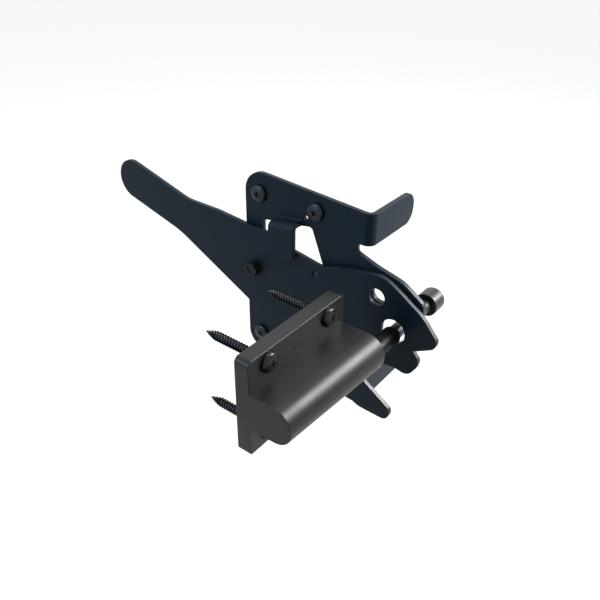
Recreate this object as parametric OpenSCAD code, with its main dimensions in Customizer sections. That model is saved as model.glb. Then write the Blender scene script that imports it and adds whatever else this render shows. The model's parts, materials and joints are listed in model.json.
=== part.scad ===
// Gate latch: a lever latch on a post plate, and a striker with a pin for the gate
// X runs toward the hook, Y into the post, Z up; the origin is on the plate's rear face

/* [Post plate] */
// Thickness of the pressed sheet
plate_t = 3; // [2.5:0.1:3.5]
// Rear edge of the plate, measured from the origin
plate_rear_x = -31; // [-34:0.5:-30]
// Height of the plate's top edge at the rear
plate_top_z = 61.5; // [60:0.5:64]
// Height of the plate's bottom edge at the rear
plate_bottom_z = -60.5; // [-64:0.5:-59]
// Distance from the origin to the flanges' inner face, which lies on the post
flange_inner_x = 52.5; // [51:0.5:54]
// Inner radius of the flange bends
bend_r = 2; // [1.5:0.1:2.5]
// How far the upper flange reaches along the post
upper_flange_l = 40.5; // [36:0.5:44]
// How far the lower flange reaches along the post
lower_flange_l = 44; // [38:0.5:46]
// Height of the upper flange's lower edge
upper_flange_low_z = 37.4; // [36.5:0.1:39]
// Height of the upper flange's top edge
upper_flange_top_z = 55.8; // [55:0.1:57]
// Height of the lower flange's bottom edge
lower_flange_low_z = -69; // [-71:0.1:-66]
// Height of the lower flange's top edge
lower_flange_top_z = -49.4; // [-51:0.1:-49]
// Radius of the seat where the pin rests in the plate
seat_r = 7.3; // [7.2:0.1:7.6]

/* [Keeper tongue] */
// Width of the tongue
tongue_w = 18; // [14:0.5:19]
// Middle of the tongue along the plate
tongue_x = 1.2; // [0.8:0.1:1.6]
// Height of the tongue's top surface at its middle
tongue_top_z = 38.3; // [37.5:0.1:38.8]
// Slope of the tongue's top surface in degrees
tongue_tilt = 8.5; // [6:0.5:9]
// Gap between the lever and the tongue
tongue_gap = 1; // [0.6:0.1:1.5]

/* [Lever] */
// Distance from the pivot to the corner where the handle ends
handle_l = 114.6; // [100:0.1:130]
// Distance from the pivot to the middle of the hook's throat
throat_reach = 96; // [94.5:0.5:97.5]
// Thickness of the lever
lever_t = 3; // [2.5:0.1:3.5]
// Pivot position along X
pivot_x = -21; // [-22:0.1:-20]
// Pivot position along Z
pivot_z = 1.3; // [0:0.1:2.5]
// Radius of the round throat that drops over the pin
throat_r = 7.1; // [7:0.1:7.5]
// Diameter of the padlock hole, in lever and plate
padlock_d = 10; // [8:0.5:11]
// Diameter of the plate's pull cord hole
cord_d = 3; // [2.5:0.1:4]
// Diameter of the lever's pull cord hole
lever_cord_d = 3.5; // [2.5:0.1:4]

/* [Pivot] */
// Diameter of the pivot bolt's shank
pivot_d = 6; // [5:0.5:6]
// Width across the flats of the bolt head
pivot_head_af = 8; // [7.5:0.5:10]
// Height of the bolt head
pivot_head_h = 4.8; // [3.5:0.1:5.5]
// Thickness of the spacer washer
spacer_t = 1; // [0.8:0.1:1.2]
// Diameter of the spacer washer
spacer_d = 14; // [12:0.5:15]
// Diameter of the peened end of the pivot bolt
peen_d = 9; // [7.5:0.5:10]
// Depth of the countersinks for the peened ends
peen_depth = 1.5; // [1:0.1:2]
// Diameter of the stop rivet's head
rivet_d = 7; // [6:0.5:7]
// Gap between the stop rivet and the lever's lower edge at rest
stop_gap = 0.25; // [0.1:0.05:0.5]

/* [Screws] */
// Diameter of the screw heads
screw_head_d = 10.4; // [9:0.1:10.6]
// Height of the screw heads
screw_head_h = 3; // [2.5:0.1:3.2]
// Diameter of the screws' shanks
screw_d = 5; // [4.5:0.1:5.2]
// Length of the post screws under the head
post_screw_l = 16; // [12:1:20]
// Length of the striker screws under the head
striker_screw_l = 38; // [30:1:45]

/* [Striker] */
// Length of the striker block along the gate
block_l = 72; // [68:1:76]
// Height of the block's plate
block_h = 53; // [50:1:56]
// Thickness of the block's plate
block_t = 8; // [7:0.5:9]
// Gap between the gate's end of the block and the post plate's rear face
block_gap = 34; // [33:0.5:40]
// Radius of the bar's rounded nose
nose_r = 11; // [10:0.5:11.5]
// Distance from the gate's face to the tip of the nose, at the pin's end
nose_reach = 33.7; // [32:0.1:36]
// How much of its size the bar keeps at its other end
bar_taper = 0.9; // [0.85:0.01:1]
// Distance of the striker screws from the block's ends
screw_inset_y = 13.5; // [12:0.5:15]
// Distance of the striker screws from the block's top and bottom
screw_inset_z = 6.5; // [6:0.1:7]
// Diameter of the pin's thick part
pin_d = 10.5; // [10:0.1:10.8]
// Diameter of the pin's neck
neck_d = 8; // [7:0.1:8.4]
// Diameter of the knob on the pin's end
knob_d = 14; // [12:0.5:15]
// Length of the knob
knob_l = 11; // [9:0.5:12]

/* [Hidden] */
$fn = 64;
powder = "#26313b";
black_zinc = "#2b2b2d";
satin_black = "#1e1f21";
eps = 0.5;
run_gap = 0.05;
bend_x = flange_inner_x - bend_r;
bend_y = bend_r;
spacer_y = -plate_t;
lever_back_y = spacer_y - spacer_t - run_gap;
lever_front_y = lever_back_y - lever_t;
tongue_back_y = lever_front_y - tongue_gap;
tongue_front_y = tongue_back_y - plate_t;
throat_at = [throat_reach, -5.7];
pin_at = [pivot_x + throat_reach + 1, -5];
seat_at = [pin_at[0] - 3, -7.6];
padlock_at = [pin_at[0] - 12.7, 12.6];
plate_cord_at = [12.9, 42.2];
lever_cord_at = [44.1, 10.6];
post_screw_at = [[-20, 48], [20, 48], [-20, -48], [20, -57]];

// The lever's lower edge from its pivot, where the lever comes to rest on the stop rivet
rest_from = [-7.1, -25.2];
rest_to = [throat_at[0] - 18, throat_at[1] - 62.3];
rest_slope = atan2(rest_to[1] - rest_from[1], rest_to[0] - rest_from[0]);
rivet_x = 4.5;
rivet_at = [rivet_x, pivot_z + rest_from[1] + (rivet_x - pivot_x - rest_from[0]) * tan(rest_slope)
    - (rivet_d / 2 + stop_gap) / cos(rest_slope)];
rivet_shank_d = rivet_d - 2;
neck_of_screw_d = screw_d - 0.8;
screw_hole_d = screw_d + 0.5;
tongue_root_z = 30;
tongue_root_h = 12;
block_end_y = -block_gap;
block_mid_y = block_end_y - block_l / 2;
block_mid_z = 0.5;
striker_pitch_y = block_l - 2 * screw_inset_y;
striker_pitch_z = block_h - 2 * screw_inset_z;
block_front_x = flange_inner_x + block_t;
nose_tip_x = flange_inner_x + nose_reach;
nose_z = -0.7;
pin_root_y = block_end_y - 16;
neck_y = -8;
knob_y = 28;
pin_end_y = knob_y + 8;

// Outlines as lists of corners [x, z, corner radius], taken clockwise from the top rear

// The post plate's flat part with its upper arm, its mouth and its lower jaw
notch_x = bend_x - 3.5;
sx = seat_at[0];
sz = seat_at[1];
plate_corners = [
    [plate_rear_x, plate_top_z, 13], [bend_x, upper_flange_top_z, 0],
    [bend_x, upper_flange_low_z, 0], [notch_x, upper_flange_low_z, 2], [notch_x, sz + 40.1, 2],
    [sx - 13, sz + 35.5, 60], [sx + 3, sz + 31.6, 24], [sx + 16.3, sz + 22.6, 6],
    [sx + 16.3, sz + 12.4, 3], [sx + 8, sz + 9.2, 10], [sx - seat_r, sz + 9.2, 6.5],
    [sx - seat_r, sz - seat_r, seat_r], [sx + 3.4, sz - seat_r, 6], [sx + 7.9, sz - 1.1, 2.4],
    [sx + 17.4, sz - 12, 4.5], [sx + 16.8, sz - 16.8, 6], [sx + 11.8, sz - 25, 6],
    [sx + 3, sz - 23.2, 12], [bend_x - 0.5, sz - 26.4, 3], [bend_x - 0.5, sz - 37.2, 0.5],
    [notch_x, sz - 37.2, 2], [notch_x, lower_flange_top_z, 2], [bend_x, lower_flange_top_z, 0],
    [bend_x, lower_flange_low_z, 0], [plate_rear_x, plate_bottom_z, 12]
];

// The window under the tongue
window_corners = [
    [-18, 32.4, 3], [17, 37.7, 2.5], [24.8, 18, 12], [28.8, 9.6, 3], [-18, 9.6, 4]
];

// The lever, measured from its pivot: the handle, the top edge, the hook, the finger pull
hx = throat_at[0];
hz = throat_at[1];
lever_corners = [
    [-handle_l, 45.1, 13.3], [-55.8, 28.7, 30], [-29.9, 28.5, 30], [-6.6, 26.5, 60],
    [10.2, 25.9, 6], [17, 22.2, 9], [30, 19.9, 40], [48, 16.8, 11], [56, 19.7, 16],
    [67, 22.4, 40], [hx - 8.7, hz + 30.6, 20], [hx + 1, hz + 25.3, 60], [hx + 16.4, hz + 15.1, 30],
    [hx + 26.3, hz + 3.6, 5], [hx + 24.4, hz - 1.2, 5], [hx + 13.6, hz - 7.2, 4],
    [hx + 10.4, hz - 10.1, 1.8], [hx + throat_r, hz - 8.5, 1.4],
    [hx + throat_r, hz + throat_r, throat_r], [hx - throat_r, hz + throat_r, throat_r],
    [hx - throat_r, hz - 7.3, 3], [hx - 16, hz - 13.3, 6], [hx - 22, hz - 34.3, 9],
    [hx - 14.5, hz - 42.5, 10], [hx + 4.6, hz - 54.9, 4.6], [hx + 1.4, hz - 62.9, 4.6],
    [rest_to[0], rest_to[1], 14], [rest_from[0], rest_from[1], 60], [-64.2, 4.1, 60], [-handle_l - 7.2, 19.5, 13.3]
];

// Points along an arc that rounds corner q between its neighbours p and s
function rounded_corner(p, q, s) =
    let (
        a = (p - q) / norm(p - q),
        b = (s - q) / norm(s - q),
        half = acos(max(-1, min(1, a * b))) / 2,
        reach = min(q[2] / tan(half), 0.49 * norm(p - q), 0.49 * norm(s - q)),
        r = reach * tan(half),
        centre = q + (a + b) / norm(a + b) * r / sin(half),
        start = q + a * reach - centre,
        finish = q + b * reach - centre,
        from_a = atan2(start[1], start[0]),
        turn = atan2(start[0] * finish[1] - start[1] * finish[0], start * finish),
        steps = max(2, ceil(abs(turn) / 9 + r / 12))
    )
    [for (i = [0 : steps]) [centre[0] + r * cos(from_a + turn * i / steps),
        centre[1] + r * sin(from_a + turn * i / steps)]];

// The whole outline: sharp where a corner's radius is 0
function outline(corners) =
    let (n = len(corners), flat = [for (c = corners) [c[0], c[1]]])
    [for (i = [0 : n - 1])
        let (p = flat[(i + n - 1) % n], q = flat[i], s = flat[(i + 1) % n], r = corners[i][2])
        each (r == 0 ? [q] : rounded_flat(p, q, s, r))];

function rounded_flat(p, q, s, r) = rounded_corner([p[0], p[1], r], [q[0], q[1], r], [s[0], s[1], r]);

// A flat piece in the plate's plane, from y_back forward by t
module slab(corners, y_back, t) {
    translate([0, y_back, 0]) rotate([90, 0, 0]) linear_extrude(t) polygon(outline(corners));
}

// A round bar along Y that starts at y and runs l into the post
module bar_y(x, z, y, l, d) {
    translate([x, y, z]) rotate([-90, 0, 0]) cylinder(h = l, d = d);
}

// A hole right through the plate
module plate_hole(at, d) {
    bar_y(at[0], at[1], -plate_t - eps, plate_t + 2 * eps, d);
}

// A peened end: it widens from d to wide at the plate's rear face and runs on by past
module peen(x, z, d, wide, past) {
    translate([x, -peen_depth, z]) rotate([-90, 0, 0]) cylinder(h = peen_depth, d1 = d, d2 = wide);
    if (past > 0) bar_y(x, z, 0, past, wide);
}

// A quarter bend of the sheet between two heights
module bend(z_low, z_top) {
    translate([bend_x, bend_y, z_low]) rotate([0, 0, -90]) rotate_extrude(angle = 90)
        translate([bend_r, 0]) square([plate_t, z_top - z_low]);
}

// A flange that lies against the post, with its far corners rounded
module flange(z_low, z_top, l, r_low, r_top) {
    translate([flange_inner_x, 0, 0]) rotate([90, 0, 90]) linear_extrude(plate_t)
        polygon(outline([[bend_y, z_low, 0], [l, z_low, r_low], [l, z_top, r_top], [bend_y, z_top, 0]]));
}

// The keeper tongue: out of the plate, over the lever's top edge and down in front of it
module tongue() {
    low_z = 16.1;
    side = tongue_w / 2;
    profile = [[0, 12, 0], [0, -plate_t, plate_t + 1], [tongue_back_y, -plate_t, 1],
        [tongue_back_y, -40, 0], [tongue_front_y, -40, 0], [tongue_front_y, 0, plate_t + 1],
        [-plate_t, 0, 1], [-plate_t, 12, 0]];
    intersection() {
        slab([[tongue_x - side, low_z, 5], [tongue_x - side, 44, 0],
            [tongue_x + side, 44, 0], [tongue_x + side, low_z, 5]], 5, 30);
        translate([tongue_x, 0, tongue_top_z]) rotate([0, -tongue_tilt, 0]) translate([-20, 0, 0])
            rotate([90, 0, 90]) linear_extrude(40) polygon(outline(profile));
    }
}

// A pan head wood screw at the origin that points toward +Z, its head below; its smooth
// neck is as long as the piece it holds is thick
module wood_screw(l, held_t) {
    tip_l = 7;
    dome_r = 9;
    difference() {
        intersection() {
            translate([0, 0, -screw_head_h]) cylinder(h = screw_head_h, d = screw_head_d);
            translate([0, 0, dome_r - screw_head_h]) sphere(r = dome_r, $fn = 96);
        }
        for (a = [0, 90]) rotate([0, 0, a])
            translate([-2.6, -0.55, -screw_head_h - 1]) cube([5.2, 1.1, 2.7]);
    }
    translate([0, 0, -eps]) cylinder(h = held_t + 2 * eps, d = neck_of_screw_d);
    translate([0, 0, held_t]) cylinder(h = l - tip_l - held_t, d = screw_d);
    translate([0, 0, l - tip_l]) cylinder(h = tip_l, d1 = screw_d, d2 = 0.6);
}

module post_screw(i) {
    color(black_zinc) translate([post_screw_at[i][0], -plate_t, post_screw_at[i][1]])
        rotate([-90, 0, 0]) rotate([0, 0, 17 + 31 * i]) wood_screw(post_screw_l, plate_t);
}

module striker_screw(i) {
    side_y = i % 2 == 0 ? -1 : 1;
    side_z = i < 2 ? 1 : -1;
    color(black_zinc) translate([block_front_x, block_mid_y + side_y * striker_pitch_y / 2,
        block_mid_z + side_z * striker_pitch_z / 2])
        rotate([0, -90, 0]) rotate([0, 0, 12 + 37 * i]) wood_screw(striker_screw_l, block_t);
}

module post_plate() {
    color(powder) {
        difference() {
            slab(plate_corners, 0, plate_t);
            slab(window_corners, eps, plate_t + 2 * eps);
            translate([tongue_x - tongue_w / 2, -plate_t - eps, tongue_root_z])
                cube([tongue_w, plate_t + 2 * eps, tongue_root_h]);
            plate_hole(seat_at, 2 * seat_r);
            plate_hole([pivot_x, pivot_z], pivot_d);
            peen(pivot_x, pivot_z, pivot_d, peen_d, eps);
            plate_hole(rivet_at, rivet_shank_d);
            peen(rivet_at[0], rivet_at[1], rivet_shank_d, rivet_d, eps);
            plate_hole(padlock_at, padlock_d);
            plate_hole(plate_cord_at, cord_d);
            for (p = post_screw_at) plate_hole(p, screw_hole_d);
        }
        bend(upper_flange_low_z, upper_flange_top_z);
        flange(upper_flange_low_z, upper_flange_top_z, upper_flange_l, 8, 8);
        bend(lower_flange_low_z, lower_flange_top_z);
        flange(lower_flange_low_z, lower_flange_top_z, lower_flange_l, 3, 4);
        tongue();
    }
}

// A hole right through the lever, placed from the pivot
module lever_hole(at, d) {
    bar_y(at[0], at[1], lever_front_y - eps, lever_t + 2 * eps, d);
}

module lever() {
    color(powder) translate([pivot_x, 0, pivot_z]) difference() {
        slab(lever_corners, lever_back_y, lever_t);
        lever_hole([0, 0], pivot_d + 2 * run_gap);
        lever_hole(throat_at, 2 * throat_r);
        lever_hole(lever_cord_at, lever_cord_d);
        lever_hole([padlock_at[0] - pivot_x, padlock_at[1] - pivot_z], padlock_d);
    }
}

module pivot_bolt() {
    head_y = lever_front_y - run_gap;
    color(satin_black) {
        difference() {
            translate([pivot_x, head_y, pivot_z]) rotate([90, 0, 0]) rotate([0, 0, 12])
                cylinder(h = pivot_head_h, d = pivot_head_af / cos(30), $fn = 6);
            bar_y(pivot_x, pivot_z, head_y - pivot_head_h - 1, 1.5, 5);
        }
        bar_y(pivot_x, pivot_z, head_y - 1, 1 - head_y, pivot_d);
        peen(pivot_x, pivot_z, pivot_d, peen_d, 0);
    }
}

module pivot_spacer() {
    color(satin_black) difference() {
        bar_y(pivot_x, pivot_z, spacer_y - spacer_t, spacer_t, spacer_d);
        bar_y(pivot_x, pivot_z, spacer_y - spacer_t - eps, spacer_t + 2 * eps, pivot_d);
    }
}

module stop_rivet() {
    head_y = lever_front_y + 0.5;
    color(black_zinc) {
        bar_y(rivet_at[0], rivet_at[1], head_y, -plate_t - head_y, rivet_d);
        bar_y(rivet_at[0], rivet_at[1], -plate_t - eps, plate_t + eps, rivet_shank_d);
        peen(rivet_at[0], rivet_at[1], rivet_shank_d, rivet_d, 0);
    }
}

module striker_block() {
    top_z = nose_z + nose_r;
    depth = 2 * nose_r;
    reach = nose_tip_x - block_front_x;
    fillet = 1.5;
    color(satin_black) difference() {
        union() {
            translate([flange_inner_x, block_mid_y, block_mid_z]) rotate([90, 0, 90])
                linear_extrude(block_t) polygon(outline([
                    [-block_l / 2, -block_h / 2, 1.5], [block_l / 2, -block_h / 2, 1.5],
                    [block_l / 2, block_h / 2, 3], [-block_l / 2, block_h / 2, 3]]));
            translate([block_front_x, block_end_y, top_z]) rotate([90, 0, 0])
                linear_extrude(block_l, scale = bar_taper) polygon(outline([
                    [-block_t + 1, -depth - fillet - 1, 0], [0, -depth - fillet - 1, 0],
                    [0, -depth, fillet], [reach, -depth, nose_r - 0.01],
                    [reach, 0, nose_r - 0.01], [0, 0, fillet],
                    [0, fillet + 1, 0], [-block_t + 1, fillet + 1, 0]]));
        }
        bar_y(pin_at[0], pin_at[1], pin_root_y, block_end_y - pin_root_y + eps, pin_d);
        for (y = [-1, 1], z = [-1, 1])
            translate([flange_inner_x - eps, block_mid_y + y * striker_pitch_y / 2,
                block_mid_z + z * striker_pitch_z / 2])
                rotate([0, 90, 0]) cylinder(h = block_t + 2 * eps, d = screw_hole_d);
    }
}

module striker_pin() {
    color(satin_black) {
        bar_y(pin_at[0], pin_at[1], pin_root_y, neck_y - 1.2 - pin_root_y, pin_d);
        translate([pin_at[0], neck_y - 1.2, pin_at[1]]) rotate([-90, 0, 0])
            cylinder(h = 1.2, d1 = pin_d, d2 = neck_d);
        bar_y(pin_at[0], pin_at[1], neck_y - eps, pin_end_y - neck_y + eps, neck_d);
    }
}

module pin_knob() {
    soft = 1.5;
    color(satin_black) difference() {
        translate([pin_at[0], knob_y, pin_at[1]]) rotate([-90, 0, 0]) rotate_extrude()
            polygon(concat([[0, 0]], rounded_flat([0, 0], [knob_d / 2, 0], [knob_d / 2, knob_l], 0.6),
                rounded_flat([knob_d / 2, 0], [knob_d / 2, knob_l], [0, knob_l], soft), [[0, knob_l]]));
        bar_y(pin_at[0], pin_at[1], knob_y - eps, pin_end_y - knob_y + eps, neck_d);
    }
}

post_plate();
lever();
pivot_bolt();
pivot_spacer();
stop_rivet();
post_screw(0);  // post_screw_1
post_screw(1);  // post_screw_2
post_screw(2);  // post_screw_3
post_screw(3);  // post_screw_4
striker_block();
striker_pin();
pin_knob();
striker_screw(0);  // striker_screw_1
striker_screw(1);  // striker_screw_2
striker_screw(2);  // striker_screw_3
striker_screw(3);  // striker_screw_4
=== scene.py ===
# %% [markdown]
# # A gate latch
#
# This notebook dresses a gate latch. The frame holds its pieces at their real size: a pressed
# post plate with two flanges, a long lever that hooks over a pin, and a striker block that is
# screwed to the gate. Here the edges are softened, the screws get their threads, and every
# piece gets its finish.

# %% Tools
import json
import math

import bmesh
import bpy
from mathutils import Matrix, Vector

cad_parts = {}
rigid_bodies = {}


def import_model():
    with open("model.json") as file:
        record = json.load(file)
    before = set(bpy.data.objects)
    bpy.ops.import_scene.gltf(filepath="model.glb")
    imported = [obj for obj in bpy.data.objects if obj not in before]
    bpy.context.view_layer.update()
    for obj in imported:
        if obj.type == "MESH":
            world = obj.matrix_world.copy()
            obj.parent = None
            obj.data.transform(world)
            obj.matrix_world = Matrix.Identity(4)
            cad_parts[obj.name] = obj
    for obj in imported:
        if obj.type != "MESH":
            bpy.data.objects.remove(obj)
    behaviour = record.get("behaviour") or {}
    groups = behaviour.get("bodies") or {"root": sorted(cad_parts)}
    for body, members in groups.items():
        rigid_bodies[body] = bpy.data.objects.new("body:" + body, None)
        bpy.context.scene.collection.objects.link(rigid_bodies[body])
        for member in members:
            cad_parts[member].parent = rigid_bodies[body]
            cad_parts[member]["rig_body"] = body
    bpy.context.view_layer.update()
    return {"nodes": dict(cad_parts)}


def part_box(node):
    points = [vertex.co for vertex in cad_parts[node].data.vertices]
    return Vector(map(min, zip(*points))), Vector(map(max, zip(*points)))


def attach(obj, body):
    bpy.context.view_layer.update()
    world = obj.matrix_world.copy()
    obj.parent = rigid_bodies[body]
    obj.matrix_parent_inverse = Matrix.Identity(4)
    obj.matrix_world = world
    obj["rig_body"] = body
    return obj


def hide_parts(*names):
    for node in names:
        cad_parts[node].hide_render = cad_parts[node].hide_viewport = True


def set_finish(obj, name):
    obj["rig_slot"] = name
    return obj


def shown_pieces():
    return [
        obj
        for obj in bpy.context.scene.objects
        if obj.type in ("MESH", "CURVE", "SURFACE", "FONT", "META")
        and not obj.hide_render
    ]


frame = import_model()
MM = 0.001

# %% [markdown]
# ## The camera
#
# The photograph looks down on the latch from the front right. Where a camera stands can be found
# from edges that are parallel in reality: they meet in vanishing points. That gives the angle and
# the lens here, and the distance follows from the plate's size. A small roll levels the view.

# %% Camera
AZIMUTH = math.radians(36.9)
ELEVATION = math.radians(32.4)
ROLL = math.radians(0.93)
EYE = Vector((0.2057, -0.2637, 0.1947))
SENSOR = 36
FOCAL_SHARE = 648.3 / 600
NEAREST = 0.01

bpy.ops.object.camera_add(location=EYE)
camera = bpy.context.object
camera.name = "camera"
look = Matrix.Rotation(AZIMUTH, 4, "Z") @ Matrix.Rotation(math.pi / 2 - ELEVATION, 4, "X")
camera.matrix_world = Matrix.Translation(EYE) @ look @ Matrix.Rotation(ROLL, 4, "Z")
camera.data.sensor_width = SENSOR
camera.data.sensor_fit = "HORIZONTAL"
camera.data.lens = SENSOR * FOCAL_SHARE
camera.data.clip_start = NEAREST
bpy.context.scene.camera = camera
print("lens in mm:", round(camera.data.lens, 1))

# %% [markdown]
# ## Softened copies
#
# Laser cut and pressed steel never has a razor edge: a line of light runs along every edge of the
# real latch. A bevel shader could fake that, but real geometry holds in the meshes themselves.
# So each solid is copied, and the copy's loose triangles are merged and flattened into whole
# faces, which a bevel needs.

# %% A copy to work on
WELD = 2e-6
FLAT_WITHIN = math.radians(0.4)


def only(piece):
    """Leaves this piece alone selected and active."""
    bpy.ops.object.select_all(action="DESELECT")
    piece.hide_set(False)
    piece.select_set(True)
    bpy.context.view_layer.objects.active = piece


def apply_all(piece):
    """Applies the piece's modifiers in their order."""
    only(piece)
    for modifier in list(piece.modifiers):
        bpy.ops.object.modifier_apply(modifier=modifier.name)


def copy_of(node, name):
    """A merged copy of a CAD node, free of its body and ready to be shaped."""
    only(frame["nodes"][node])
    bpy.ops.object.duplicate()
    piece = bpy.context.object
    bpy.ops.object.parent_clear(type="CLEAR_KEEP_TRANSFORM")
    bpy.ops.object.transform_apply(location=True, rotation=True, scale=True)
    piece.name = name
    piece.data.name = name
    piece.data.materials.clear()
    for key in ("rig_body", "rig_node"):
        if key in piece:
            del piece[key]
    bpy.ops.object.mode_set(mode="EDIT")
    bpy.ops.mesh.select_all(action="SELECT")
    bpy.ops.mesh.remove_doubles(threshold=WELD)
    bpy.ops.mesh.dissolve_limited(angle_limit=FLAT_WITHIN, delimit=set())
    bpy.ops.object.mode_set(mode="OBJECT")
    return piece


print("nodes in the frame:", len(frame["nodes"]))

# %% [markdown]
# ## Rounded edges
#
# A Bevel modifier can find sharp edges by their angle alone. But then it also rounds inner
# corners, which stay plain on the real latch, so the outer edges are picked first and given a
# bevel weight. The Weighted Normal modifier keeps the large flat faces flat in the light.


# %% Rounded edges
BEVEL_STEPS = 3
SMOOTH_WITHIN = math.radians(32)
FLAT_FACE_WEIGHT = 90


def weigh_edges(piece, angle, spared):
    """A bevel weight of 1 on outer edges sharper than the angle, apart from spared ones."""
    work = bmesh.new()
    work.from_mesh(piece.data)
    weight = work.edges.layers.float.new("bevel_weight_edge")
    for edge in work.edges:
        middle = (edge.verts[0].co + edge.verts[1].co) / (2 * MM)
        outer = len(edge.link_faces) == 2 and edge.is_convex
        sharp = outer and edge.calc_face_angle() > math.radians(angle)
        edge[weight] = 1.0 if sharp and not spared(middle) else 0.0
    work.to_mesh(piece.data)
    work.free()


def soften(piece, width_mm, angle=35, spared=lambda middle: False):
    """Rounds the piece's sharp outer edges and shades it smooth across the rest."""
    weigh_edges(piece, angle, spared)
    bevel = piece.modifiers.new("edges", "BEVEL")
    bevel.width = width_mm * MM
    bevel.segments = BEVEL_STEPS
    bevel.limit_method = "WEIGHT"
    bevel.use_clamp_overlap = False
    bevel.miter_outer = "MITER_ARC"
    bevel.harden_normals = False
    apply_all(piece)
    bpy.ops.object.shade_smooth_by_angle(angle=SMOOTH_WITHIN)
    level = piece.modifiers.new("level", "WEIGHTED_NORMAL")
    level.mode = "FACE_AREA"
    level.weight = FLAT_FACE_WEIGHT
    level.keep_sharp = True
    apply_all(piece)
    return piece


def seat(piece, body, slot, *nodes):
    """The piece rides on its body and stands for its nodes."""
    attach(piece, body)
    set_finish(piece, slot)
    if nodes:
        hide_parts(*nodes)
    print(piece.name, "has", len(piece.data.polygons), "faces")
    return piece


print("each rounded edge has", BEVEL_STEPS, "steps")

# %% [markdown]
# ## Sheet metal
#
# The plate and the lever are cut from 3 mm sheet and tumbled before coating, which leaves an edge
# radius of a few tenths of a millimetre. They could be drawn again as outlines and given a
# thickness, but the solids already hold the true bends, so their copies are softened. Where the
# tongue leaves the sheet the edges are too short to round, and they stay as they are.

# %% Plate and lever
SHEET_EDGE = 0.45
TONGUE_SIDES = (-7.8, 10.2)
BESIDE_TONGUE = 0.8
TONGUE_ROOT_Z = (33, 44)
SHEET_FRONT_Y = -3.2


def at_tongue_root(middle):
    """True where the tongue leaves the sheet, in millimetres."""
    beside = min(abs(middle.x - side) for side in TONGUE_SIDES)
    low, high = TONGUE_ROOT_Z
    return beside < BESIDE_TONGUE and low < middle.z < high and middle.y > SHEET_FRONT_Y


plate = soften(copy_of("post_plate", "plate"), SHEET_EDGE, spared=at_tongue_root)
lever = soften(copy_of("lever", "long_lever"), SHEET_EDGE)
print("plate and lever are rounded by", SHEET_EDGE, "mm")

# %% [markdown]
# ## Rubbed edges
#
# The coat on a cut edge is thin, and round the hook, the jaw and the finger pull it is rubbed
# bright. A mask could be painted by hand, but a mark on the face corners is exact along each
# edge. It is worked out from the edge's place, and the finish reads it later.

# %% Marks on the cut edges
SHEET_Y = (-3.1, 0.1)
POST_CORNER_X = 50.0
JAW_Z = (-40, 30)
HOOK_RUB = (58.0, 98.0)
JAW_RUB = (38.0, 92.0)
FINGER_RUB = (30.0, 62.0)
FINGER_TOP_Z = -28.0
FLAT_SIDE = 0.8


def mark_rubbed(piece, how_much):
    """Stores on each corner of each face how much it is rubbed there, from 0 to 1."""
    mesh = piece.data
    marks = mesh.attributes.new("rubbed", "FLOAT", "CORNER").data
    for face in mesh.polygons:
        for corner in face.loop_indices:
            place = mesh.vertices[mesh.loops[corner].vertex_index].co / MM
            marks[corner].value = how_much(place, face.normal)
    print(piece.name, "has", sum(mark.value > 0 for mark in marks), "rubbed corners")


def cut_edge(place, normal, stretch):
    """A cut edge looks along X and Z. It is rubbed more and more along a stretch of X."""
    start, full = stretch
    rubbed = min(1.0, max(0.0, (place.x - start) / (full - start)))
    return 0.0 if abs(normal.y) > FLAT_SIDE else rubbed


def lever_edge(place, normal):
    """The lever's cut edge, along the hook or along the finger pull."""
    return cut_edge(place, normal, FINGER_RUB if place.z < FINGER_TOP_Z else HOOK_RUB)


def plate_edge(place, normal):
    """The plate's flanges and its tongue are left out: only the flat sheet's edges count."""
    in_sheet = SHEET_Y[0] < place.y < SHEET_Y[1]
    flat = in_sheet and (place.x < POST_CORNER_X or JAW_Z[0] < place.z < JAW_Z[1])
    return cut_edge(place, normal, JAW_RUB) if flat else 0.0


mark_rubbed(lever, lever_edge)
mark_rubbed(plate, plate_edge)
seat(plate, "post_side", "powder_coat", "post_plate")
seat(lever, "lever", "powder_coat", "lever")

# %% [markdown]
# ## The casting
#
# The striker's block is cast in one with its bar. Its outer edges are broken a little, and where
# the bar meets the plate the inner corner is plain. The solid has small fillets there. They could
# be cut away and the hole filled, but drawing their points together onto the corner keeps the
# skin closed.

# %% Striker block
BAR_ROOT_X = 60.5
BAR_TOP_Z = 10.3
BAR_DEPTH = 22.0
BAR_TAPER = 0.9
FILLET = 1.5
TOUCH = 0.01
END_DEPTH = 0.5
NO_AREA = 1e-6
BLOCK_EDGE = 0.4


def plain_foot(piece):
    """Draws the fillets at the bar's foot together into plain inner corners."""
    far_y = min(vertex.co.y for vertex in piece.data.vertices)
    for vertex in piece.data.vertices:
        x, z = vertex.co.x / MM, vertex.co.z / MM
        size = BAR_TAPER if abs(vertex.co.y - far_y) < END_DEPTH * MM else 1.0
        low_z = BAR_TOP_Z - BAR_DEPTH * size
        if not BAR_ROOT_X - TOUCH < x < BAR_ROOT_X + FILLET + 5 * TOUCH:
            continue
        if -TOUCH < z - BAR_TOP_Z < FILLET + TOUCH:
            vertex.co.x, vertex.co.z = BAR_ROOT_X * MM, BAR_TOP_Z * MM
        elif -TOUCH < low_z - z < FILLET + TOUCH:
            vertex.co.x, vertex.co.z = BAR_ROOT_X * MM, low_z * MM
    only(piece)
    bpy.ops.object.mode_set(mode="EDIT")
    bpy.ops.mesh.select_all(action="SELECT")
    bpy.ops.mesh.remove_doubles(threshold=WELD)
    bpy.ops.mesh.dissolve_degenerate(threshold=NO_AREA)
    bpy.ops.object.mode_set(mode="OBJECT")
    return piece


block = soften(plain_foot(copy_of("striker_block", "block")), BLOCK_EDGE, angle=40)
seat(block, "striker", "satin_black_casting", "striker_block")
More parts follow.
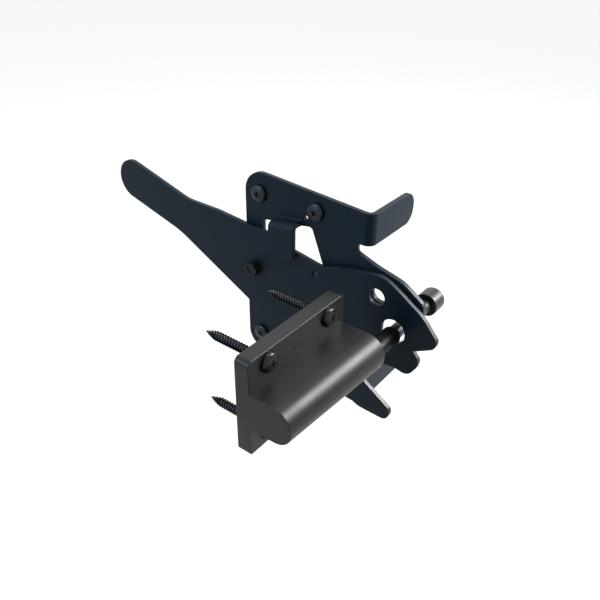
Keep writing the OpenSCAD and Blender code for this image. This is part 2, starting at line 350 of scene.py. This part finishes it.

# %% [markdown]
# ## Pin and knob
#
# The pin is turned steel, rubbed bright on the neck that slides in the plate. Where it is thick it
# is coloured near black, as painted shade from the block's bar. A knob on its end keeps it from
# slipping out. Both are plain turned shapes, which the solids hold well, so only their edges are
# rounded, and the neck is marked as rubbed.

# %% Pin and knob
PIN_EDGE = 0.4
KNOB_EDGE = 0.3
NECK_FROM_Y = -8.1


def neck(place, normal):
    """The neck is rubbed all over, whichever way its faces look."""
    return 1.0 if place.y > NECK_FROM_Y else 0.0


pin = soften(copy_of("striker_pin", "pin"), PIN_EDGE, angle=25)
mark_rubbed(pin, neck)
seat(pin, "striker", "satin_steel", "striker_pin")
knob = soften(copy_of("pin_knob", "knob"), KNOB_EDGE, angle=60)
seat(knob, "striker", "satin_steel", "pin_knob")

# %% [markdown]
# ## Pivot and stop
#
# The lever turns on a bolt with a hex head, runs on a thin washer and comes to rest on a rivet.
# All three could be built from cylinders, but their solids already have the right steps and
# flats, so they are softened like the rest. The washer is about 1 mm thick and gets the finest
# edge.

# %% Pivot bolt, washer and rivet
BOLT_EDGE = 0.35
WASHER_EDGE = 0.15
RIVET_EDGE = 0.4

bolt = soften(copy_of("pivot_bolt", "hex_bolt"), BOLT_EDGE)
seat(bolt, "post_side", "black_hardware", "pivot_bolt")
washer = soften(copy_of("pivot_spacer", "washer"), WASHER_EDGE)
seat(washer, "post_side", "black_hardware", "pivot_spacer")
rivet = soften(copy_of("stop_rivet", "rivet"), RIVET_EDGE)
seat(rivet, "post_side", "black_hardware", "stop_rivet")

# %% [markdown]
# ## A screw's head
#
# All eight screws have a pan head: flat below, with a well rounded rim, a slightly crowned top
# and a cross for the driver. It could be spun from a profile. Here a cylinder is beveled at its
# top and inset three times, each time a little higher, and two tapered wings cut the cross.

# %% Screw head
SCREW_HEAD = 10.4
HEAD_HEIGHT = 3.0
CROWN = 0.5
RIM = 1.6
RIM_STEPS = 7
HEAD_SIDES = 64
CROWN_STEPS = ((0.8, 0.55), (1.2, 0.35), (0.8, 0.10))
CROSS_WING = (5.4, 1.15, 3.6)
CROSS_TAPER = 0.45


def pick_top(piece):
    """Selects the one face that is furthest along -Z, in edit mode."""
    bpy.ops.object.mode_set(mode="EDIT")
    bpy.ops.mesh.select_mode(type="FACE")
    bpy.ops.mesh.select_all(action="DESELECT")
    bpy.ops.object.mode_set(mode="OBJECT")
    top = min(piece.data.polygons, key=lambda face: (round(face.center.z, 7), -face.area))
    top.select = True
    bpy.ops.object.mode_set(mode="EDIT")


def cross_cutter():
    """The driver's cross: two tapered wings that meet on the axis."""
    wings = []
    for turn in (0, math.pi / 2):
        bpy.ops.mesh.primitive_cube_add(size=1, location=(0, 0, -HEAD_HEIGHT * MM))
        wing = bpy.context.object
        wing.scale = [side * MM for side in CROSS_WING]
        wing.rotation_euler = (0, 0, turn)
        bpy.ops.object.transform_apply(location=True, rotation=True, scale=True)
        for vertex in wing.data.vertices:
            if vertex.co.z > -HEAD_HEIGHT * MM:
                vertex.co.x *= CROSS_TAPER
                vertex.co.y *= CROSS_TAPER
        wings.append(wing)
    union = wings[0].modifiers.new("join", "BOOLEAN")
    union.operation = "UNION"
    union.object = wings[1]
    apply_all(wings[0])
    bpy.data.objects.remove(wings[1])
    return wings[0]


def screw_head():
    """A pan head that stands from z = 0 towards -Z."""
    straight = HEAD_HEIGHT - CROWN
    bpy.ops.object.select_all(action="DESELECT")
    bpy.ops.mesh.primitive_cylinder_add(vertices=HEAD_SIDES, radius=SCREW_HEAD / 2 * MM,
                                        depth=straight * MM, location=(0, 0, -straight / 2 * MM))
    head = bpy.context.object
    bpy.ops.object.transform_apply(location=True, rotation=True, scale=True)
    pick_top(head)
    bpy.ops.mesh.bevel(offset=RIM * MM, segments=RIM_STEPS, affect="EDGES")
    for inset, rise in CROWN_STEPS:
        pick_top(head)
        bpy.ops.mesh.inset(thickness=inset * MM)
        bpy.ops.transform.translate(value=(0, 0, -rise * CROWN * MM))
    bpy.ops.object.mode_set(mode="OBJECT")
    cutter = cross_cutter()
    cut = head.modifiers.new("cross", "BOOLEAN")
    cut.operation = "DIFFERENCE"
    cut.object = cutter
    apply_all(head)
    bpy.data.objects.remove(cutter)
    return head


print("a head is", SCREW_HEAD, "mm wide and", HEAD_HEIGHT, "mm high")

# %% [markdown]
# ## A screw's thread
#
# A wood screw's thread is a sharp helical ridge that runs out to a gimlet point. The Screw
# modifier can sweep one, but then the point needs a second trick. Here each ring of the shank is
# a circle whose radius swells where the ridge passes, so the thread, its run-out and the point
# come from one formula and the skin is closed.

# %% Threaded shank
SCREW_D = 5.0
CORE_D = 3.3
NECK_D = 4.2
PITCH = 1.6
POINT = 7.0
BLUNT = 0.4
CORE_FADE = 0.8
CREST_FADE = 0.62
RIDGE_SHARE = 0.42
RINGS_PER_TURN = 12
SIDES = 32


def ridge(z, angle, length, smooth):
    """The screw's radius at a height and angle: core, ridge, smooth neck and point."""
    fade = min(1, max(0, (length - z) / POINT))
    core = CORE_D / 2 * fade ** CORE_FADE
    outer = SCREW_D / 2 * fade ** CREST_FADE
    if z < smooth:
        return NECK_D / 2
    phase = (z / PITCH - angle / (2 * math.pi)) % 1
    near = abs(phase - 0.5) * 2
    tooth = max(0, 1 - near / RIDGE_SHARE)
    start = min(1, (z - smooth) / PITCH)
    neck_left = (1 - start) * NECK_D / 2
    return max(neck_left, core + (outer - core) * tooth * start)


def threaded_shank(length, smooth, name):
    """A closed shank from z = 0 to the point at z = length, all in millimetres."""
    work = bmesh.new()
    rings = []
    step = PITCH / RINGS_PER_TURN
    count = int((length - BLUNT) / step)
    for n in range(count + 1):
        z = min(n * step, length - BLUNT)
        ring = []
        for i in range(SIDES):
            angle = 2 * math.pi * i / SIDES
            r = ridge(z, angle, length, smooth)
            place = Vector((r * math.cos(angle), r * math.sin(angle), z)) * MM
            ring.append(work.verts.new(place))
        rings.append(ring)
    for low, high in zip(rings, rings[1:]):
        for i in range(SIDES):
            k = (i + 1) % SIDES
            work.faces.new((low[i], low[k], high[k], high[i]))
    tip = work.verts.new((0, 0, length * MM))
    end = work.verts.new((0, 0, 0))
    for i in range(SIDES):
        k = (i + 1) % SIDES
        work.faces.new((rings[-1][i], rings[-1][k], tip))
        work.faces.new((rings[0][k], rings[0][i], end))
    bmesh.ops.recalc_face_normals(work, faces=work.faces)
    mesh = bpy.data.meshes.new(name)
    work.to_mesh(mesh)
    work.free()
    piece = bpy.data.objects.new(name, mesh)
    bpy.context.collection.objects.link(piece)
    return piece


print("the thread rises", PITCH, "mm a turn on a core of", CORE_D, "mm")

# %% [markdown]
# ## A whole screw
#
# Head and shank are forged in one on the real screw. Two loose shells would look the same, but
# one closed skin is a better mesh, so a Boolean joins them. The thread's crest is marked as
# rubbed, because the black plating is thinnest there and a thin bright helix shows on the screws.

# %% Whole screw
SUNK = 0.3
SCREW_SMOOTH_WITHIN = math.radians(38)


def thread_crest(place, smooth):
    """How far a point stands out of the core, from 0 to 1. The neck and the head give 0."""
    rise = 2 * math.hypot(place.x, place.y) - CORE_D
    return max(0.0, rise / (SCREW_D - CORE_D)) if place.z > smooth else 0.0


def make_screw(length, smooth, name):
    """Head and shank in one closed solid, along +Z from the underside of the head."""
    head = screw_head()
    shank = threaded_shank(length, smooth, "shank")
    join = head.modifiers.new("join", "BOOLEAN")
    join.operation = "UNION"
    join.object = shank
    shank.location.z = -SUNK * MM
    only(shank)
    bpy.ops.object.transform_apply(location=True, rotation=True, scale=True)
    apply_all(head)
    bpy.data.objects.remove(shank)
    head.name = name
    mark_rubbed(head, lambda place, normal: thread_crest(place, smooth))
    only(head)
    bpy.ops.object.shade_smooth_by_angle(angle=SCREW_SMOOTH_WITHIN)
    return head


print("a shank starts", SUNK, "mm inside its head")

# %% [markdown]
# ## Screws in their places
#
# Four short screws hold the plate on the post, and four long ones hold the striker on the gate.
# Linked copies would share one mesh, but each piece needs its place in its own mesh, so each
# pattern screw is duplicated in full. No two are driven home at the same turn.

# %% Screws in their places
POST_SCREW = (16, 3)
STRIKER_SCREW = (38, 8)
POST_TURNS = (10, 22, 50, 75)
STRIKER_TURNS = (8, 3, 40, 65)


def place_screws(pattern, stem, body, turns):
    """Copies the pattern screw to each node's head, along the direction the node points."""
    for number, turn in enumerate(turns, start=1):
        node = stem + str(number)
        low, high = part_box(node)
        middle = (low + high) / 2
        only(pattern)
        bpy.ops.object.duplicate()
        screw = bpy.context.object
        screw.name = "threaded_" + node
        if body == "post_side":
            aim = Matrix.Rotation(-math.pi / 2, 4, "X")
            place = Vector((middle.x, low.y + HEAD_HEIGHT * MM, middle.z))
        else:
            aim = Matrix.Rotation(-math.pi / 2, 4, "Y")
            place = Vector((high.x - HEAD_HEIGHT * MM, middle.y, middle.z))
        twist = Matrix.Rotation(math.radians(turn), 4, "Z")
        screw.matrix_world = Matrix.Translation(place) @ aim @ twist
        only(screw)
        bpy.ops.object.transform_apply(location=True, rotation=True, scale=True)
        seat(screw, body, "black_zinc", node)
    bpy.data.objects.remove(pattern)


place_screws(make_screw(*POST_SCREW, "short_screw"), "post_screw_", "post_side", POST_TURNS)
place_screws(make_screw(*STRIKER_SCREW, "long_screw"), "striker_screw_", "striker", STRIKER_TURNS)

# %% [markdown]
# ## Finishes
#
# Every finish here is a dark one, and what tells them apart is how they scatter light. Powder
# coat has a fine orange peel, the casting a satin grain, zinc a tighter shine. Each could have its
# own nodes, but they share so much that one group makes the grain, the faint cloudiness and the
# rubbed edges for all of them.

# %% Grain group
RUBBED_COLOUR = (0.042, 0.043, 0.045, 1)
RUBBED_METAL = 0.7
RUBBED_SHINE = 0.02
RUBBED_FLAT = 3.0
WORN_FROM = 0.15
WORN_FULL = 0.45
GRAIN_DETAIL = 3
CLOUD_DETAIL = 5
GRAIN_INPUTS = (
    ("Colour", "NodeSocketColor", (0.02, 0.03, 0.04, 1)),
    ("Grain scale", "NodeSocketFloat", 2500),
    ("Cloud scale", "NodeSocketFloat", 60),
    ("Cloud strength", "NodeSocketFloat", 0.15),
    ("Roughness", "NodeSocketFloat", 0.4),
    ("Metal", "NodeSocketFloat", 0),
    ("Rubbed", "NodeSocketFloat", 0),
)
GRAIN_OUTPUTS = (
    ("Colour", "NodeSocketColor"),
    ("Roughness", "NodeSocketFloat"),
    ("Metal", "NodeSocketFloat"),
    ("Height", "NodeSocketFloat"),
)


def math_node(tree, operation, *values, clamp=False):
    """A Math node's output. Each value is a plain number or another node's output."""
    node = tree.nodes.new("ShaderNodeMath")
    node.operation = operation
    node.use_clamp = clamp
    for place, value in enumerate(values):
        if isinstance(value, (int, float)):
            node.inputs[place].default_value = value
        else:
            tree.links.new(value, node.inputs[place])
    return node.outputs[0]


def add_sockets(group):
    """Gives the group its named inputs, with their usual values, and its named outputs."""
    for name, kind, value in GRAIN_INPUTS:
        item = group.interface.new_socket(name=name, in_out="INPUT", socket_type=kind)
        item.default_value = value
    for name, kind in GRAIN_OUTPUTS:
        group.interface.new_socket(name=name, in_out="OUTPUT", socket_type=kind)


def noise_node(group, scale, detail):
    """Noise on Object coordinates, at a scale that the group is given."""
    place = group.nodes.new("ShaderNodeTexCoord")
    noise = group.nodes.new("ShaderNodeTexNoise")
    noise.inputs["Detail"].default_value = detail
    group.links.new(place.outputs["Object"], noise.inputs["Vector"])
    group.links.new(scale, noise.inputs["Scale"])
    return noise.outputs["Fac"]


def build_grain():
    """Colour clouds, roughness clouds, rubbed edges and a grain height."""
    group = bpy.data.node_groups.new("paint_grain", "ShaderNodeTree")
    add_sockets(group)
    link = group.links.new
    given = group.nodes.new("NodeGroupInput").outputs
    result = group.nodes.new("NodeGroupOutput").inputs
    grain = noise_node(group, given["Grain scale"], GRAIN_DETAIL)
    cloud = noise_node(group, given["Cloud scale"], CLOUD_DETAIL)
    centred = math_node(group, "SUBTRACT", cloud, 0.5)
    shift = math_node(group, "MULTIPLY", centred, given["Cloud strength"])
    level = math_node(group, "MULTIPLY_ADD", shift, 2, 1)
    tint = group.nodes.new("ShaderNodeVectorMath")
    tint.operation = "SCALE"
    link(given["Colour"], tint.inputs[0])
    link(level, tint.inputs["Scale"])
    rough = math_node(group, "ADD", given["Roughness"], shift)
    worn = group.nodes.new("ShaderNodeMapRange")
    worn.inputs["From Min"].default_value = WORN_FROM
    worn.inputs["From Max"].default_value = WORN_FULL
    link(cloud, worn.inputs["Value"])
    shown = math_node(group, "MULTIPLY", worn.outputs["Result"], given["Rubbed"])
    colour = group.nodes.new("ShaderNodeMix")
    colour.data_type = "RGBA"
    colour.inputs["B"].default_value = RUBBED_COLOUR
    link(shown, colour.inputs["Factor"])
    link(tint.outputs[0], colour.inputs["A"])
    metal = math_node(group, "MULTIPLY_ADD", shown, RUBBED_METAL, given["Metal"], clamp=True)
    smooth = math_node(group, "MULTIPLY_ADD", shown, -RUBBED_SHINE, rough)
    kept = math_node(group, "MULTIPLY_ADD", given["Rubbed"], -RUBBED_FLAT, 1, clamp=True)
    link(colour.outputs["Result"], result["Colour"])
    link(metal, result["Metal"])
    link(smooth, result["Roughness"])
    link(math_node(group, "MULTIPLY", grain, kept), result["Height"])
    return group


GRAIN = build_grain()
print("the grain group has", len(GRAIN.nodes), "nodes")

# %% [markdown]
# ## The dark coats
#
# Photographs of black metal are mostly reflections, so the specular level matters as much as the
# colour: powder coat and the pin's near black coat hardly mirror at all, a satin casting mirrors
# softly. One function builds each material round the grain group, and only its numbers differ. The
# thick part of the pin gets a near black coat of its own, which is painted shade from the block's
# bar.

# %% Materials
CLOUDINESS = 0.12


def finish_of(name, colour, roughness, grain_scale, grain_depth_mm, metallic=0.0,
              specular=0.5, rubbed=False):
    """A dark finish: colour and roughness clouds, a fine bump and, where asked, rubbed edges."""
    material = bpy.data.materials.new(name)
    material.use_nodes = True
    nodes = material.node_tree.nodes
    link = material.node_tree.links.new
    shader = nodes["Principled BSDF"]
    shader.inputs["Specular IOR Level"].default_value = specular
    group = nodes.new("ShaderNodeGroup")
    group.node_tree = GRAIN
    group.inputs["Colour"].default_value = (*colour, 1)
    group.inputs["Grain scale"].default_value = grain_scale
    group.inputs["Cloud strength"].default_value = CLOUDINESS
    group.inputs["Roughness"].default_value = roughness
    group.inputs["Metal"].default_value = metallic
    if rubbed:
        marks = nodes.new("ShaderNodeAttribute")
        marks.attribute_name = "rubbed"
        link(marks.outputs["Fac"], group.inputs["Rubbed"])
        link(group.outputs["Metal"], shader.inputs["Metallic"])
    else:
        shader.inputs["Metallic"].default_value = metallic
    bump = nodes.new("ShaderNodeBump")
    bump.inputs["Distance"].default_value = grain_depth_mm * MM
    bump.inputs["Strength"].default_value = 1
    link(group.outputs["Colour"], shader.inputs["Base Color"])
    link(group.outputs["Roughness"], shader.inputs["Roughness"])
    link(group.outputs["Height"], bump.inputs["Height"])
    link(bump.outputs["Normal"], shader.inputs["Normal"])
    return material


BY_SLOT = {
    "powder_coat": finish_of("powder_coat", (0.0072, 0.0135, 0.0200), roughness=0.42,
                             grain_scale=2600, grain_depth_mm=0.012, specular=0.085,
                             rubbed=True),
    "satin_black_casting": finish_of("satin_casting", (0.0065, 0.0064, 0.0062), roughness=0.40,
                                     grain_scale=3200, grain_depth_mm=0.008, specular=0.24),
    "black_zinc": finish_of("black_zinc", (0.026, 0.027, 0.030), roughness=0.30,
                            grain_scale=4000, grain_depth_mm=0.004, metallic=0.9,
                            specular=0.2, rubbed=True),
    "black_hardware": finish_of("black_hardware", (0.008, 0.009, 0.010), roughness=0.40,
                                grain_scale=3200, grain_depth_mm=0.006, specular=0.12),
    "satin_steel": finish_of("satin_steel", (0.052, 0.050, 0.048), roughness=0.34,
                             grain_scale=3600, grain_depth_mm=0.004, metallic=0.8,
                             specular=0.2),
}
# Painted shade: the pin is coloured near black where the block's bar shades its thick part, and
# only the rubbed neck shows steel.
PIN_PAINTED_SHADE = finish_of("pin_painted_shade", (0.006, 0.006, 0.006), roughness=0.38, grain_scale=3600,
                  grain_depth_mm=0.003, specular=0.10, rubbed=True)
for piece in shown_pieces():
    piece.data.materials.clear()
    piece.data.materials.append(BY_SLOT[piece["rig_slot"]])
# The pin takes the near black coat of painted shade in place of satin steel.
pin.data.materials[0] = PIN_PAINTED_SHADE

# %% [markdown]
# ## The floor
#
# The photograph is a product shot on pure white. A white floor under strong lamps would throw
# much light up at the object and wash out its dark colours. So the floor glows only for the rays
# that show it, straight or mirrored, and its own grey takes the lamps' light and a faint shadow.

# %% Floor
FLOOR_Z = -0.16
FLOOR_SIZE = 6
FLOOR_GREY = 0.14
FLOOR_GLOW = 0.9
FLOOR_ROUGHNESS = 0.9
WHITE = (1, 1, 1, 1)


def seen_rays(tree):
    """1 for rays that show the backdrop: straight, by reflection or through glass."""
    rays = tree.nodes.new("ShaderNodeLightPath").outputs
    mirrored = math_node(tree, "MAXIMUM", rays["Is Camera Ray"], rays["Is Glossy Ray"])
    return math_node(tree, "MAXIMUM", mirrored, rays["Is Transmission Ray"])


bpy.ops.mesh.primitive_plane_add(size=FLOOR_SIZE, location=(0, 0, FLOOR_Z))
floor = bpy.context.object
floor.name = "floor"
pale = bpy.data.materials.new("pale_floor")
pale.use_nodes = True
shader = pale.node_tree.nodes["Principled BSDF"]
shader.inputs["Base Color"].default_value = (FLOOR_GREY, FLOOR_GREY, FLOOR_GREY, 1)
shader.inputs["Roughness"].default_value = FLOOR_ROUGHNESS
shader.inputs["Specular IOR Level"].default_value = 0
glow = math_node(pale.node_tree, "MULTIPLY", seen_rays(pale.node_tree), FLOOR_GLOW)
pale.node_tree.links.new(glow, shader.inputs["Emission Strength"])
shader.inputs["Emission Color"].default_value = WHITE
floor.data.materials.append(pale)
print("the floor lies", -FLOOR_Z, "m below the origin")

# %% [markdown]
# ## Lamps and world
#
# One narrow lamp behind on the right draws the long highlight on the rounded bar. A large cool
# one fills the front and gives the plate its blue, a weak one behind on the left lights the tops,
# and one overhead evens them out. A picture of a studio would do it too, but four soft boxes
# are easier to move. The world adds a little light and is white where it is seen.

# %% Lamps and world
MIDDLE = Vector((0.02, -0.03, 0.0))
NEUTRAL = (1, 1, 1)
COOL = (0.50, 0.78, 1.0)
WORLD_LIGHT = 0.2
SOFTBOXES = (
    ("back_key", (0.52, 0.49, 0.48), (0.26, 0.44), 19, NEUTRAL),
    ("front_fill", (-0.45, -0.80, 0.45), (0.8, 0.8), 9, COOL),
    ("back_left", (-0.50, 0.66, 0.55), (0.9, 0.6), 1.6, NEUTRAL),
    ("overhead", (-0.10, 0.10, 0.90), (0.6, 0.6), 3, NEUTRAL),
)

for name, place, size, power, colour in SOFTBOXES:
    bpy.ops.object.light_add(type="AREA", location=place)
    lamp = bpy.context.object
    lamp.name = name
    lamp.data.shape = "RECTANGLE"
    lamp.data.size, lamp.data.size_y = size
    lamp.data.energy = power
    lamp.data.color = colour
    lamp.rotation_euler = (MIDDLE - Vector(place)).to_track_quat("-Z", "Y").to_euler()

world = bpy.data.worlds.new("white")
bpy.context.scene.world = world
world.use_nodes = True
sky = world.node_tree.nodes["Background"]
sky.inputs["Color"].default_value = WHITE
strength = world.node_tree.nodes.new("ShaderNodeMapRange")
strength.inputs["To Min"].default_value = WORLD_LIGHT
strength.inputs["To Max"].default_value = 1
world.node_tree.links.new(seen_rays(world.node_tree), strength.inputs["Value"])
world.node_tree.links.new(strength.outputs["Result"], sky.inputs["Strength"])
bpy.context.scene.view_settings.view_transform = "Standard"
print("lamps:", [lamp[0] for lamp in SOFTBOXES])
